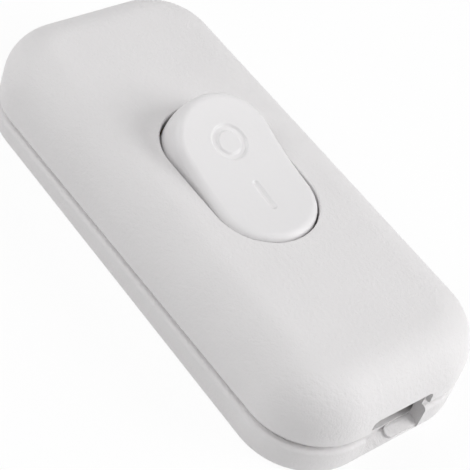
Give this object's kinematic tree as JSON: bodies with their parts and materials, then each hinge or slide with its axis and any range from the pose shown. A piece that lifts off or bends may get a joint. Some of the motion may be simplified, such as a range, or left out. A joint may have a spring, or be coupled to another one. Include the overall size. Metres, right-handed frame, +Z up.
{
  "type": "inline cord switch",
  "caption": "Pillow-shaped two-part housing with a dished rocker, spring plungers, contact levers, screw terminals and cord clamps; switches both poles of a flexible cord.",
  "frame": {"origin": "middle of the flat underside", "axes": "+X along the housing towards the end whose rocker half is pressed in, +Y across, +Z up"},
  "size_m": [0.08, 0.036, 0.0202],
  "materials": {
    "shell_plastic": "fine spark-eroded grain",
    "rocker_plastic": "smooth satin",
    "clamp_plastic": "moulded satin",
    "terminal_brass": "drawn brass",
    "lever_copper": "rolled copper alloy",
    "contact_silver": "silver alloy",
    "plated_steel": "bright zinc plate",
    "spring_steel": "drawn wire"
  },
  "bodies": {
    "housing": {"base_shell": "shell_plastic", "top_shell": "shell_plastic", "cord_clamp_front": "clamp_plastic", "cord_clamp_rear": "clamp_plastic", "terminal_screws": "plated_steel", "clamp_screws": "plated_steel", "housing_screws": "plated_steel", "fixed_contact_left": "contact_silver", "supply_terminal_left": "terminal_brass", "load_terminal_left": "terminal_brass", "fixed_contact_right": "contact_silver", "supply_terminal_right": "terminal_brass", "load_terminal_right": "terminal_brass"},
    "rocker": {"rocker": "rocker_plastic", "plunger_spring_left": "spring_steel", "plunger_spring_right": "spring_steel"},
    "contact_lever_left": {"contact_lever_left": "lever_copper", "moving_contact_left": "contact_silver"},
    "plunger_left": {"plunger_left": "terminal_brass"},
    "contact_lever_right": {"contact_lever_right": "lever_copper", "moving_contact_right": "contact_silver"},
    "plunger_right": {"plunger_right": "terminal_brass"}
  },
  "joints": [
    {"name": "rocker_hinge", "type": "hinge", "parent": "housing", "child": "rocker", "pos_m": [0, 0, 0.0118], "axis": [0, 1, 0], "range_deg": [-24, 0]},
    {"name": "contact_lever_left_hinge", "type": "hinge", "parent": "housing", "child": "contact_lever_left", "pos_m": [0, 0.0036, 0.005], "axis": [0, 1, 0], "range_deg": [0, 16]},
    {"name": "contact_lever_right_hinge", "type": "hinge", "parent": "housing", "child": "contact_lever_right", "pos_m": [0, -0.0036, 0.005], "axis": [0, 1, 0], "range_deg": [0, 16]},
    {"name": "plunger_left_slide", "type": "slide", "parent": "rocker", "child": "plunger_left", "axis": [0.2079, 0, 0.9781], "range_m": [0, 0.0008], "stiffness_N_per_m": 200, "deforming": ["plunger_spring_left"]},
    {"name": "plunger_right_slide", "type": "slide", "parent": "rocker", "child": "plunger_right", "axis": [0.2079, 0, 0.9781], "range_m": [0, 0.0008], "stiffness_N_per_m": 200, "deforming": ["plunger_spring_right"]}
  ],
  "couplings": [
    {"joint": "contact_lever_left_hinge", "follows": "rocker_hinge", "ratio": -0.66667},
    {"joint": "contact_lever_right_hinge", "follows": "rocker_hinge", "ratio": -0.66667}
  ]
}
